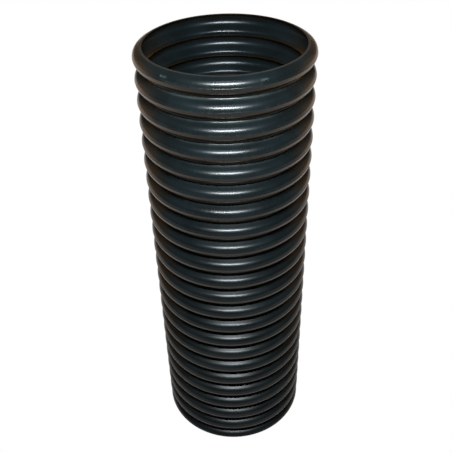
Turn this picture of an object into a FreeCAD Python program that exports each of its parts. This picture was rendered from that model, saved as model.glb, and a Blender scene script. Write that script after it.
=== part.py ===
"""Corrugated well casing pipe: one cut length of single-wall black plastic pipe.

The pipe stands on its lower cut end. Its axis is Z and the origin is the centre of that end. The wall has the
same thickness everywhere. It runs in closed rings, not in a helix: a wide round crest, a straight flank, a small
root, another flank. Both ends are sawn square. Sizes are in millimetres and degrees.
"""

import FreeCAD, Part
import math
import os

# Driving dimensions
LENGTH = 1000.0  # sawn length, end to end
CLEAR_BORE = 312.0  # diameter through the roots, inside
WAVE_HEIGHT = 21.5  # from the clear bore out to the top of a crest's mould line
WALL = 2.2  # wall thickness, square to the surface
PITCH = 44.8  # from one crest to the next
FLANK_ANGLE = 64.0  # between a flank and the pipe's axis
ROOT_RADIUS = 4.0  # outer surface of a root, at each side of its land
ROOT_LAND = 2.0  # width of the level band in the middle of a root
TOP_CUT_BELOW_ROOT = 5.5  # from the middle of the root that was sawn through, down to the upper end
MOULD_LINE_HEIGHT = 0.3  # low rib round each crest, from the slot in the mould
MOULD_LINE_TOP = 1.2  # its width at the top
MOULD_LINE_FOOT = 2.2  # and where it meets the crest

# Worked out from those
FLANK = math.radians(FLANK_ANGLE)
BORE_R = CLEAR_BORE / 2.0
ROOT_OUTER_R = BORE_R + WALL
MOULD_LINE_R = BORE_R + WAVE_HEIGHT
CREST_OUTER_R = MOULD_LINE_R - MOULD_LINE_HEIGHT
TOP_ROOT_Z = LENGTH + TOP_CUT_BELOW_ROOT


def crest_radius():
    """Radius of a crest's outer surface, so that it runs smoothly into both flanks."""
    depth = CREST_OUTER_R - ROOT_OUTER_R
    half = (PITCH - ROOT_LAND) / 2.0
    both = (half * math.sin(FLANK) - depth * math.cos(FLANK)) / (1.0 - math.cos(FLANK))
    return both - ROOT_RADIUS


CREST_RADIUS = crest_radius()
CREST_CENTRE_R = CREST_OUTER_R - CREST_RADIUS
ROOT_CENTRE_R = ROOT_OUTER_R + ROOT_RADIUS


def point(r, z):
    return FreeCAD.Vector(r, 0, z)


def on_circle(r, z, radius, angle):
    """Point in the XZ plane on a circle, with the angle measured from outwards towards up."""
    return point(r + radius * math.cos(angle), z + radius * math.sin(angle))


def arc(r, z, radius, start, end):
    middle = (start + end) / 2.0
    return Part.Arc(*[on_circle(r, z, radius, angle) for angle in (start, middle, end)]).toShape()


def chain(pieces):
    """Join arcs and single points into one line of edges, with straight edges across the gaps."""
    edges = []
    last = None
    for piece in pieces:
        is_point = isinstance(piece, FreeCAD.Vector)
        first = piece if is_point else piece.firstVertex(True).Point
        if last is not None and not last.isEqual(first, 1e-6):
            edges.append(Part.makeLine(last, first))
        if not is_point:
            edges.append(piece)
        last = piece if is_point else piece.lastVertex(True).Point
    return edges


def outer_wave(crest_z):
    """Outer surface from one crest's lower flank up to the far side of the root above it."""
    foot = math.asin(MOULD_LINE_FOOT / 2.0 / CREST_RADIUS)
    root_z = crest_z + PITCH / 2.0
    return [
        arc(CREST_CENTRE_R, crest_z, CREST_RADIUS, -FLANK, -foot),
        point(MOULD_LINE_R, crest_z - MOULD_LINE_TOP / 2.0),
        point(MOULD_LINE_R, crest_z + MOULD_LINE_TOP / 2.0),
        arc(CREST_CENTRE_R, crest_z, CREST_RADIUS, foot, FLANK),
    ] + root(root_z, ROOT_RADIUS)


def inner_wave(crest_z):
    """Inner surface along the same stretch, a wall's thickness in from the outer one."""
    root_z = crest_z + PITCH / 2.0
    hollow = arc(CREST_CENTRE_R, crest_z, CREST_RADIUS - WALL, -FLANK, FLANK)
    return [hollow] + root(root_z, ROOT_RADIUS + WALL)


def root(root_z, radius):
    """One root: two corners with a level land between them."""
    lower = root_z - ROOT_LAND / 2.0
    upper = root_z + ROOT_LAND / 2.0
    return [
        arc(ROOT_CENTRE_R, lower, radius, math.pi + FLANK, math.pi),
        arc(ROOT_CENTRE_R, upper, radius, math.pi, math.pi - FLANK),
    ]


def wall_section():
    """The wall cut by the XZ plane and trimmed square at both ends."""
    waves = math.ceil(TOP_ROOT_Z / PITCH) + 1
    crests = [TOP_ROOT_Z + PITCH * (0.5 - k) for k in range(waves, -1, -1)]
    outer = chain([piece for z in crests for piece in outer_wave(z)])
    inner = chain([piece for z in crests for piece in inner_wave(z)])
    below = Part.makeLine(outer[0].firstVertex(True).Point, inner[0].firstVertex(True).Point)
    above = Part.makeLine(outer[-1].lastVertex(True).Point, inner[-1].lastVertex(True).Point)
    band = Part.Face(Part.Wire(Part.__sortEdges__(outer + [above] + inner + [below])))
    axis_side = FreeCAD.Vector(0, 0, 0)
    kept = Part.makePlane(LENGTH, 2.0 * MOULD_LINE_R, axis_side, FreeCAD.Vector(0, 1, 0), FreeCAD.Vector(0, 0, 1))
    return band.common(kept)


def make_pipe():
    section = wall_section()
    assert len(section.Faces) == 1, "the wall's section must stay in one piece"
    return section.Faces[0].revolve(FreeCAD.Vector(0, 0, 0), FreeCAD.Vector(0, 0, 1), 360)


def main():
    os.makedirs("parts", exist_ok=True)
    pipe = make_pipe()
    assert pipe.isValid() and len(pipe.Solids) == 1
    pipe.exportStep("parts/corrugated_pipe.step")
    box = pipe.optimalBoundingBox()
    print("crest radius %.2f mm, outside diameter %.1f mm" % (CREST_RADIUS, 2.0 * MOULD_LINE_R))
    print("box %.2f x %.2f x %.2f, z %.2f to %.2f" % (box.XLength, box.YLength, box.ZLength, box.ZMin, box.ZMax))
    print("volume %.1f cm3, faces %d" % (pipe.Volume / 1000.0, len(pipe.Faces)))


main()
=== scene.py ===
# %% [markdown]
# # A corrugated well casing pipe
# The object is one cut length of black corrugated plastic pipe, standing on its sawn lower end. It
# lines a well, a sump or an inspection shaft. The wall is a single skin about 2 mm thick, and its
# corrugations are closed rings.
#
# The construction model is loaded first. It fixes the size and the place of everything, in metres,
# with Z up the pipe's axis and the ground at Z = 0.

# %% Load the fixed frame
import math
import bmesh
import bpy
from mathutils import Matrix, Vector


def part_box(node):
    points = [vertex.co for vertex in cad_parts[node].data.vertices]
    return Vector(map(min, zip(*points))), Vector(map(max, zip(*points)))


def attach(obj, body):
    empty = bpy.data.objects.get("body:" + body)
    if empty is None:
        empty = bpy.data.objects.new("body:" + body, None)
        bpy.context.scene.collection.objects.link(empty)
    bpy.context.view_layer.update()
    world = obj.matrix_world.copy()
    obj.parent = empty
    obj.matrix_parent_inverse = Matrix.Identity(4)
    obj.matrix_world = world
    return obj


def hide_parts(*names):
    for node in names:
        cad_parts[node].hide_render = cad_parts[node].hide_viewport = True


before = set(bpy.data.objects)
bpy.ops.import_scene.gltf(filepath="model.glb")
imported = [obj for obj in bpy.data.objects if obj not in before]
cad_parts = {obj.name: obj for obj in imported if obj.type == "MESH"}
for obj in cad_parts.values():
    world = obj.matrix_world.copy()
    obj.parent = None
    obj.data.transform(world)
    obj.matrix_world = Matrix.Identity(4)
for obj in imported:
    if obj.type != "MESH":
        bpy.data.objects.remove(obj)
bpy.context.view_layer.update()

MM = 0.001
TOUCH = 0.001 * MM  # places closer than this are one place
WELD = 0.01 * MM  # points closer than this are merged
low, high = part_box("corrugated_pipe")
print("CAD box in mm:", [round(v / MM, 1) for v in list(low) + list(high)])

# %% [markdown]
# ## The wave of the wall
# On the real pipe a soft tube of plastic is sucked out into a chain of mould halves while it is
# still hot, so every wave is the same. The crests are wide and round, because that stiffens the
# wall, and the roots are small. A slot in each mould leaves a low rib round the middle of every
# crest.
#
# The wall could be lathed from one long outline, or thickened from a single skin. Here both
# surfaces of one wave are drawn as a line: a point is extruded along the straight parts and spun
# round the arcs, which keeps each arc a true arc. That line is then spun into one ring, and all of
# the other waves are copies of it.

# %% Sizes of the wave
length = high[2] - low[2]
mould_line_r = (high[0] - low[0]) / 2
# The rib is a little lower and narrower than in the construction model, because at its full height
# its side mirrors the near lamp too brightly.
mould_line_height = 0.2 * MM
mould_line_top = 1.2 * MM
mould_line_foot = 2.0 * MM
bore_r = 156.0 * MM
wall = 2.2 * MM
pitch = 44.8 * MM
flank = math.radians(64.0)  # between a flank and the axis
root_radius = 4.0 * MM  # outer surface
root_land = 2.0 * MM  # level band in the middle of a root
top_cut = 5.5 * MM  # from a root's middle down to the upper end
root_steps, crest_steps, hollow_steps = 3, 5, 8  # straight pieces in each arc
around = 108  # and round the axis
crest_outer_r = mould_line_r - mould_line_height
depth = crest_outer_r - bore_r - wall
half_wave = (pitch - root_land) / 2
both_radii = (half_wave * math.sin(flank) - depth * math.cos(flank)) / (1 - math.cos(flank))
crest_radius = both_radii - root_radius
print("crest radius %.2f mm" % (crest_radius / MM))
print("outside diameter %.1f mm" % (2 * mould_line_r / MM))


# %% Helpers for drawing a line point by point
def start_mesh(name, spot):
    """A new object of one point, open in edit mode with that point selected."""
    bpy.ops.object.select_all(action="DESELECT")
    bpy.ops.mesh.primitive_plane_add(size=0.001, location=spot)
    piece = bpy.context.object
    piece.name = piece.data.name = name
    bpy.ops.object.transform_apply(location=True)
    bpy.ops.object.mode_set(mode="EDIT")
    bpy.ops.mesh.select_all(action="SELECT")
    bpy.ops.mesh.merge(type="CENTER")
    return piece


def pen():
    """Where the selected end of the line is."""
    mesh = bmesh.from_edit_mesh(bpy.context.object.data)
    return next(v.co.copy() for v in mesh.verts if v.select)


def line_to(r, z):
    bpy.ops.mesh.extrude_region_move(TRANSFORM_OT_translate={"value": Vector((r, 0, z)) - pen()})


def arc_about(r, z, turn, segments):
    """Carry the end of the line round a centre, positive from outwards towards up."""
    bpy.ops.mesh.spin(steps=segments, angle=turn, center=(r, 0, z), axis=(0, 1, 0))


# %% Draw both surfaces of one wave
crest_centre_r = crest_outer_r - crest_radius
root_centre_r = bore_r + wall + root_radius
half = pitch / 2
land = half - root_land / 2
foot = math.asin(mould_line_foot / 2 / crest_radius)


def flank_end(centre_r, centre_z, radius, angle):
    return centre_r + radius * math.cos(angle), centre_z + radius * math.sin(angle)


pipe = start_mesh("corrugated_wall", (bore_r + wall, 0, -half))
line_to(bore_r + wall, -land)
arc_about(root_centre_r, -land, -flank, root_steps)
line_to(*flank_end(crest_centre_r, 0, crest_radius, -flank))
arc_about(crest_centre_r, 0, flank - foot, crest_steps)
line_to(mould_line_r, -mould_line_top / 2)
line_to(mould_line_r, mould_line_top / 2)
line_to(*flank_end(crest_centre_r, 0, crest_radius, foot))
arc_about(crest_centre_r, 0, flank - foot, crest_steps)
line_to(*flank_end(root_centre_r, land, root_radius, math.pi + flank))
arc_about(root_centre_r, land, -flank, root_steps)
line_to(bore_r + wall, half)
line_to(bore_r, half)
line_to(bore_r, land)
arc_about(root_centre_r, land, flank, root_steps)
line_to(*flank_end(crest_centre_r, 0, crest_radius - wall, flank))
arc_about(crest_centre_r, 0, -2 * flank, hollow_steps)
line_to(*flank_end(root_centre_r, -land, root_radius + wall, math.pi - flank))
arc_about(root_centre_r, -land, flank, root_steps)
line_to(bore_r, -half)
print("one wave drawn with", len(bmesh.from_edit_mesh(pipe.data).verts), "points")


# %% Spin the wave into a ring
def pick(mode, wanted):
    """In edit mode, select just the edges or faces whose middle passes the test."""
    mesh = bmesh.from_edit_mesh(bpy.context.object.data)
    bpy.ops.mesh.select_mode(type=mode)
    bpy.ops.mesh.select_all(action="DESELECT")
    count = 0
    for item in mesh.edges if mode == "EDGE" else mesh.faces:
        middle = sum((v.co for v in item.verts), Vector()) / len(item.verts)
        if wanted(middle):
            item.select_set(True)
            count += 1
    mesh.select_flush_mode()
    bmesh.update_edit_mesh(bpy.context.object.data)
    return count


pick("EDGE", lambda co: abs(co.z - half) < TOUCH and abs(co.x - bore_r - wall / 2) < TOUCH)
bpy.ops.mesh.delete(type="EDGE")
bpy.ops.mesh.select_all(action="SELECT")
bpy.ops.mesh.spin(
    steps=around, angle=2 * math.pi, center=(0, 0, 0), axis=(0, 0, 1), use_auto_merge=True)
bpy.ops.mesh.select_all(action="SELECT")
bpy.ops.mesh.remove_doubles(threshold=WELD)
bpy.ops.transform.translate(value=(0, 0, length + top_cut - half))
bpy.ops.object.mode_set(mode="OBJECT")
print("one ring has", len(pipe.data.polygons), "faces")

# %% [markdown]
# ## Repeat it and saw it to length
# The factory cuts the endless pipe wherever the length falls due, so neither end starts at the
# beginning of a wave. The upper cut runs just below a root and the lower cut just above the middle
# of a crest.
#
# An array repeats the ring, two bisects do the sawing, and the open ends of the wall are closed by
# bridging their inner and outer edges.

# %% Repeat the ring
repeat = pipe.modifiers.new("waves", "ARRAY")
repeat.count = math.ceil((length + top_cut) / pitch)
repeat.use_relative_offset = False
repeat.use_constant_offset = True
repeat.constant_offset_displace = (0, 0, -pitch)
repeat.use_merge_vertices = True
repeat.merge_threshold = WELD
bpy.ops.object.modifier_apply(modifier="waves")
print(len(pipe.data.polygons), "faces in all of the waves")

# %% Saw both ends and close the wall
bpy.ops.object.mode_set(mode="EDIT")
for height, up in ((low[2], -1), (high[2], 1)):
    bpy.ops.mesh.select_all(action="SELECT")
    bpy.ops.mesh.bisect(
        plane_co=(0, 0, height), plane_no=(0, 0, up), clear_outer=True, threshold=TOUCH)
    ring = pick("EDGE", lambda co: abs(co.z - height) < TOUCH)
    bpy.ops.mesh.bridge_edge_loops()
    print("end at", round(height / MM), "mm closed between", ring, "edges")
bpy.ops.mesh.select_all(action="SELECT")
bpy.ops.mesh.normals_make_consistent(inside=False)

# %% [markdown]
# ## The blank panel on the uppermost crest
# One of the mould halves carries a plate where the maker's marking goes. It stands out from the
# crest's upper side as a low, flat panel between the mould line and the flank, with its lower
# corners cut off. Here it stays bare.
#
# It could be a separate thin plate, but on the pipe it is the same skin, so the crest's own faces
# are cut along the panel's outline and inset with a small depth.

# %% Raise the panel
panel_from, panel_to = math.radians(-41), math.radians(25)  # from the front round towards +X
corner_run, corner_rise = 13 * MM, 8.5 * MM  # what is cut off each lower corner
panel_border, panel_height = 2.2 * MM, 0.35 * MM
painted_edge_width, painted_edge_above = 1.3 * MM, 1 * MM  # painted highlight along each end, and how far up past the cut corner it goes
near_end = 30 * MM  # only faces this near an end are cut along its outline
smooth_below = math.radians(25)  # sharper edges than this keep their crease
panel_foot = length + top_cut - half + mould_line_foot / 2
panel_crest_z = length + top_cut - half


def along(co, start):
    """Distance round the outside from an angle, positive towards +X."""
    return (math.atan2(co.x, -co.y) - start) * crest_outer_r


def on_crest_top(co):
    r = math.hypot(co.x, co.y)
    outer = math.hypot(r - crest_centre_r, co.z - panel_crest_z) > crest_radius - wall / 2
    rise = math.atan2(co.z - panel_crest_z, r - crest_centre_r)
    return outer and co.y < 0 and foot < rise < flank


def from_end(co):
    """How far a place is in from the panel's nearer end, and from the cut corner there."""
    inward = min(along(co, panel_from), -along(co, panel_to))
    corner = inward / corner_run + (co.z - panel_foot) / corner_rise - 1
    return min(inward, corner * corner_rise)


def in_panel(co):
    return on_crest_top(co) and from_end(co) > 0


def on_panel_ends(co):
    """The edge at each end, from the cut corner down to the mould line, that gets a painted highlight.
    """
    low_enough = co.z < panel_foot + corner_rise + painted_edge_above
    return on_crest_top(co) and 0 < from_end(co) < painted_edge_width and low_enough


for angle, inward in ((panel_from, 1), (panel_to, -1)):
    out = Vector((math.sin(angle), -math.cos(angle), 0))
    round_the_axis = Vector((math.cos(angle), math.sin(angle), 0)) * inward
    slope = Vector((0, 0, corner_rise)) - round_the_axis * corner_run
    end_point = out * crest_outer_r + Vector((0, 0, panel_foot))
    corner_point = end_point + Vector((0, 0, corner_rise))
    for spot, normal in ((end_point, round_the_axis), (corner_point, out.cross(slope))):
        pick("FACE", lambda co: on_crest_top(co) and abs(along(co, angle)) < near_end)
        bpy.ops.mesh.bisect(plane_co=spot, plane_no=normal.normalized(), threshold=TOUCH)
faces = pick("FACE", in_panel)
bpy.ops.mesh.inset(thickness=panel_border, depth=panel_height, use_even_offset=True)
print("panel raised on", faces, "faces")
bpy.ops.object.mode_set(mode="OBJECT")
bpy.ops.object.shade_smooth_by_angle(angle=smooth_below)
triangles = sum(len(f.vertices) - 2 for f in pipe.data.polygons)
print("pipe has", triangles, "triangles")

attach(pipe, "root")
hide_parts("corrugated_pipe")

# %% [markdown]
# ## Black polyethylene
# Well casing is made of high-density polyethylene with carbon black in it, extruded and then formed
# against the mould by vacuum. The skin is waxy: dark all through, with a clear but soft highlight.
# The die leaves faint lines along the pipe, and the mould halves leave a thin seam on either side.
# Where the pipe was sawn, the cut is paler and dull. After a while outdoors there is a film of fine
# soil on the skin, thickest in the roots and, from splashes, low down; its colour there is also
# painted fill light, for the shaded roots and the dimly lit foot. The crests are rubbed by handling,
# and the ends of the blank panel are made lighter as a painted highlight.
#
# The colour could be one value, but then the pipe looks like a drawing. Each of these marks is
# worked out from the shape instead, in real sizes, and the gloss changes with them. The shader also
# has a warm sheen, which is a painted reflection of warm surroundings at a glancing angle.


# %% Helpers for materials
def colour(code):
    """sRGB hex to linear."""
    parts = [int(code[i:i + 2], 16) / 255 for i in (1, 3, 5)]
    return tuple(c / 12.92 if c <= 0.04045 else ((c + 0.055) / 1.055) ** 2.4 for c in parts) + (1,)


def add_node(tree, kind, settings=None, inputs=None):
    """Add a node, set its properties, and set its inputs or link those given as sockets."""
    node = tree.nodes.new(kind)
    for name, value in (settings or {}).items():
        setattr(node, name, value)
    for name, value in (inputs or {}).items():
        if isinstance(value, bpy.types.NodeSocket):
            tree.links.new(value, node.inputs[name])
        else:
            node.inputs[name].default_value = value
    return node


def new_material(name):
    material = bpy.data.materials.new(name)
    material.use_nodes = True
    material.node_tree.nodes.clear()
    return material, material.node_tree


def maths(tree, operation, first, second=0.0, third=0.0):
    values = {0: first, 1: second, 2: third}
    return add_node(tree, "ShaderNodeMath", {"operation": operation}, values).outputs[0]


def vector_maths(tree, operation, output, *values):
    settings = {"operation": operation}
    return add_node(tree, "ShaderNodeVectorMath", settings, dict(enumerate(values))).outputs[output]


def ramp(tree, value, start, end, low_value=0.0, high_value=1.0):
    """Smooth step of a value between two limits."""
    node = add_node(tree, "ShaderNodeMapRange", {"interpolation_type": "SMOOTHSTEP"}, {
        "Value": value, "From Min": start, "From Max": end, "To Min": low_value, "To Max": high_value})
    return node.outputs["Result"]


def noise(tree, vector, scale, detail):
    """Noise with features of about 1 / scale metres."""
    inputs = {"Vector": vector, "Scale": scale, "Detail": detail}
    return add_node(tree, "ShaderNodeTexNoise", None, inputs).outputs["Fac"]


def blend(tree, factor, first, second):
    node = add_node(tree, "ShaderNodeMix", {"data_type": "RGBA"}, {"Factor": factor})
    for name, value in (("A", first), ("B", second)):
        socket = next(i for i in node.inputs if i.name == name and i.type == "RGBA")
        if isinstance(value, bpy.types.NodeSocket):
            tree.links.new(value, socket)
        else:
            socket.default_value = value
    return next(o for o in node.outputs if o.type == "RGBA")


# %% Make the black polyethylene
def make_polyethylene(name, painted_highlight):
    """Black polyethylene. The painted highlight share is how much of it is lightened as a painted
    highlight.
    """
    material, tree = new_material(name)

    # Places on the pipe
    coordinates = add_node(tree, "ShaderNodeTexCoord")
    place = coordinates.outputs["Object"]
    parts = add_node(tree, "ShaderNodeSeparateXYZ", None, {"Vector": place})
    height = parts.outputs["Z"]
    across = vector_maths(tree, "MULTIPLY", "Vector", place, (1, 1, 0))
    outward = vector_maths(tree, "NORMALIZE", "Vector", across)
    radius = vector_maths(tree, "LENGTH", "Value", across)
    facing = vector_maths(tree, "DOT_PRODUCT", "Value", outward, coordinates.outputs["Normal"])
    outside = ramp(tree, facing, -0.05, 0.05)
    # The pipe's skin drawn out to a smooth tube, and squashed along its length to stretch the marks
    squashed = add_node(
        tree, "ShaderNodeCombineXYZ", None, {"Z": maths(tree, "MULTIPLY", height, 0.04)}).outputs[0]
    drawn_out = vector_maths(
        tree, "MULTIPLY_ADD", "Vector", outward, (0.17, 0.17, 0.0), squashed)

    # Marks of making and of use, and painted fill light
    die_lines = noise(tree, drawn_out, 330, 3)
    from_seam = maths(tree, "ABSOLUTE", parts.outputs["Y"])
    seam = maths(tree, "MULTIPLY", outside, ramp(tree, from_seam, 0.9 * MM, 0.3 * MM))
    skin = noise(tree, place, 900, 2)
    patches = noise(tree, place, 14, 3)
    speckle = noise(tree, place, 140, 2)
    # Soil film in the roots and low down, whose colour is also painted fill light for the shaded roots
    # and the dimly lit foot
    root_film_and_fill_light = maths(tree, "MULTIPLY", outside, ramp(tree, radius, 164 * MM, 159 * MM))
    splashed_and_fill_light = ramp(tree, height, 0.75, 0.05)
    all_film_and_fill_light = maths(tree, "MULTIPLY_ADD", splashed_and_fill_light, 0.3, root_film_and_fill_light)
    film_and_fill_light = maths(tree, "MULTIPLY", all_film_and_fill_light, ramp(tree, patches, 0.3, 0.7, 0.35, 1.0))
    on_crests = maths(tree, "MULTIPLY", outside, ramp(tree, radius, 175.5 * MM, 177.2 * MM))
    rubbed = maths(tree, "MULTIPLY", on_crests, ramp(tree, speckle, 0.5, 0.72))
    upper_cut = ramp(tree, height, length - 0.1 * MM, length - 0.02 * MM)
    lower_cut = ramp(tree, height, 0.1 * MM, 0.02 * MM)
    sawn = maths(tree, "ADD", upper_cut, lower_cut)

    # Painted highlight at the corners of the blank panel: a short row of lighter spots at each end
    corner_up = math.radians(36)  # how far up the crest they lie
    spots_in = (0.015, 0.035, 0.055, 0.075)  # radians in from the end
    corner_r = crest_centre_r + crest_radius * math.cos(corner_up)
    corner_z = panel_crest_z + crest_radius * math.sin(corner_up)
    painted_corner_highlight = 0.0
    for end, inward in ((panel_from, 1), (panel_to, -1)):
        for back in spots_in:
            angle = end + inward * back
            spot = (corner_r * math.sin(angle), -corner_r * math.cos(angle), corner_z)
            away = vector_maths(tree, "DISTANCE", "Value", place, spot)
            painted_corner_highlight = maths(tree, "MAXIMUM", ramp(tree, away, 3.5 * MM, 0.5 * MM, 0.0, 0.35), painted_corner_highlight)
    painted_corner_highlight = maths(tree, "MULTIPLY", painted_corner_highlight, outside)

    # Colour, gloss and relief
    patchy = ramp(tree, patches, 0.3, 0.7)
    carbon_black = blend(tree, patchy, colour("#05090A"), colour("#080E10"))
    # Rubbed crests, and the panel's end faces made lighter as a painted highlight
    rubs_and_painted_highlight = maths(tree, "MULTIPLY_ADD", rubbed, 0.08, painted_highlight)
    with_rubs_and_painted_highlight = blend(tree, rubs_and_painted_highlight, carbon_black, colour("#2A3230"))
    # Painted highlight: the panel's corners made lighter
    with_painted_corner_highlight = blend(tree, painted_corner_highlight, with_rubs_and_painted_highlight, colour("#2E3937"))
    # Soil colour, also painted fill light in the shaded roots and on the dimly lit foot
    film_and_fill_light_share = maths(tree, "MULTIPLY", film_and_fill_light, 0.6)
    with_film_and_fill_light = blend(tree, film_and_fill_light_share, with_painted_corner_highlight, colour("#2C302E"))
    cut_face = blend(tree, speckle, colour("#0E1213"), colour("#1A1E1E"))
    with_cuts = blend(tree, sawn, with_film_and_fill_light, cut_face)
    streaks = maths(tree, "MULTIPLY_ADD", patches, 0.5, die_lines)
    gloss = ramp(tree, streaks, 0.55, 0.95, 0.27, 0.31)
    gloss = maths(tree, "MULTIPLY_ADD", root_film_and_fill_light, -0.03, gloss)
    gloss = maths(tree, "MULTIPLY_ADD", rubbed, 0.02, gloss)
    gloss = maths(tree, "MULTIPLY_ADD", splashed_and_fill_light, 0.05, gloss)
    gloss = maths(tree, "MAXIMUM", gloss, maths(tree, "MULTIPLY", sawn, 0.45))
    skin_relief = maths(tree, "MULTIPLY", skin, 0.0001 * MM)
    relief = maths(tree, "MULTIPLY_ADD", die_lines, 0.0012 * MM, skin_relief)
    relief = maths(tree, "MULTIPLY_ADD", seam, 0.2 * MM, relief)
    bump = add_node(
        tree, "ShaderNodeBump", None, {"Strength": 1.0, "Distance": 1.0, "Height": relief})
    shader = add_node(tree, "ShaderNodeBsdfPrincipled", inputs={
        "Base Color": with_cuts, "Roughness": gloss, "IOR": 1.51, "Specular IOR Level": 0.17,
        # The warm sheen tint is a painted reflection of warm surroundings at a glancing angle
        "Sheen Weight": 0.1, "Sheen Roughness": 0.45, "Sheen Tint": colour("#A87020"),
        "Normal": bump.outputs["Normal"]})
    add_node(tree, "ShaderNodeOutputMaterial", inputs={"Surface": shader.outputs["BSDF"]})
    return material


polyethylene = make_polyethylene("black_polyethylene_vacuum_formed", 0.0)
# A second material, made lighter as a painted highlight, for the panel's end faces
painted_highlight_polyethylene = make_polyethylene("black_polyethylene_painted_highlight", 0.8)
pipe.data.materials.clear()
pipe.data.materials.append(polyethylene)
pipe.data.materials.append(painted_highlight_polyethylene)
bpy.ops.object.select_all(action="DESELECT")
pipe.select_set(True)
bpy.context.view_layer.objects.active = pipe
bpy.ops.object.mode_set(mode="EDIT")
# The panel's end faces get the lighter material, a painted highlight along each end
print(pick("FACE", on_panel_ends), "faces at the panel's ends are scuffed")
pipe.active_material_index = 1
bpy.ops.object.material_slot_assign()
bpy.ops.object.mode_set(mode="OBJECT")

# %% [markdown]
# ## Floor, lights and camera
# A plain floor, white to the camera and in reflections. A wide, thin lamp close in front of the rim
# draws a long, thin highlight on every crest. A cooler one high overhead draws a second, weaker line
# just above it, and a dim, warm one beyond each side picks out the edges. The near lamp lights the
# top more than the foot, and the colours above are written for that.

# %% Floor
bpy.ops.object.select_all(action="DESELECT")
bpy.ops.mesh.primitive_plane_add(size=30)
floor = bpy.context.object
floor.name = "floor"
paper, tree = new_material("pale_studio_floor")
paper_shader = add_node(
    tree, "ShaderNodeBsdfPrincipled", inputs={"Base Color": colour("#A09070"), "Roughness": 0.9})
ray = add_node(tree, "ShaderNodeLightPath")
seen = maths(tree, "MAXIMUM", ray.outputs["Is Camera Ray"], ray.outputs["Is Glossy Ray"])
seen = maths(tree, "MAXIMUM", seen, ray.outputs["Is Transmission Ray"])
white = add_node(tree, "ShaderNodeEmission", inputs={"Color": (1, 1, 1, 1), "Strength": 1.0})
mix = add_node(tree, "ShaderNodeMixShader", inputs={
    0: seen, 1: paper_shader.outputs["BSDF"], 2: white.outputs["Emission"]})
add_node(tree, "ShaderNodeOutputMaterial", inputs={"Surface": mix.outputs["Shader"]})
floor.data.materials.append(paper)

# %% Lights
world = bpy.data.worlds.new("studio")
bpy.context.scene.world = world
world.use_nodes = True
world.node_tree.nodes["Background"].inputs["Color"].default_value = colour("#C4CDD4")
world.node_tree.nodes["Background"].inputs["Strength"].default_value = 0.1


def add_lamp(name, place, target, width, tall, power, tint, spread=180):
    bpy.ops.object.light_add(type="AREA", location=place)
    lamp = bpy.context.object
    lamp.name = name
    lamp.rotation_euler = (Vector(target) - Vector(place)).to_track_quat("-Z", "Y").to_euler()
    lamp.data.shape = "RECTANGLE"
    lamp.data.size = width
    lamp.data.size_y = tall
    lamp.data.spread = math.radians(spread)
    lamp.data.energy = power
    lamp.data.color = colour(tint)[:3]


add_lamp("main", place=(0, -0.74, 1.52), target=(0, -0.18, 0.95),
         width=0.5, tall=0.07, power=10.5, tint="#F0FAFF", spread=82)
add_lamp("overhead", place=(0, -1.0, 4.6), target=(0, 0, 0.8),
         width=0.7, tall=0.4, power=28, tint="#CFDDFF")
for side in (-1, 1):
    add_lamp("warm_side", place=(side * 1.15, 0.45, 0.9), target=(side * 0.15, 0, 0.55),
             width=0.7, tall=1.3, power=3.0, tint="#C08838")

# %% Camera
bpy.context.scene.view_settings.view_transform = "Standard"
camera_data = bpy.data.cameras.new("camera")
camera = bpy.data.objects.new("camera", camera_data)
bpy.context.scene.collection.objects.link(camera)
bpy.context.scene.camera = camera
camera_place = (0, -1.1536, 1.4292)
tilt, turn, roll = 0.6443, -0.0074, -0.0319  # radians down, to the right and about the view
on_the_level = Vector((math.sin(turn), math.cos(turn), 0))
ahead = math.cos(tilt) * on_the_level - Vector((0, 0, math.sin(tilt)))
level = Vector((math.cos(turn), -math.sin(turn), 0))
upward = level.cross(ahead)
right = math.cos(roll) * level + math.sin(roll) * upward
top = math.cos(roll) * upward - math.sin(roll) * level
aim = Matrix((right, top, -ahead)).transposed().to_4x4()
camera.matrix_world = Matrix.Translation(camera_place) @ aim
camera_data.sensor_width = 36
camera_data.lens = 49.57
camera_data.clip_start = 0.01
print("camera", round(camera.location.z, 2), "m above the floor")

# %% [markdown]
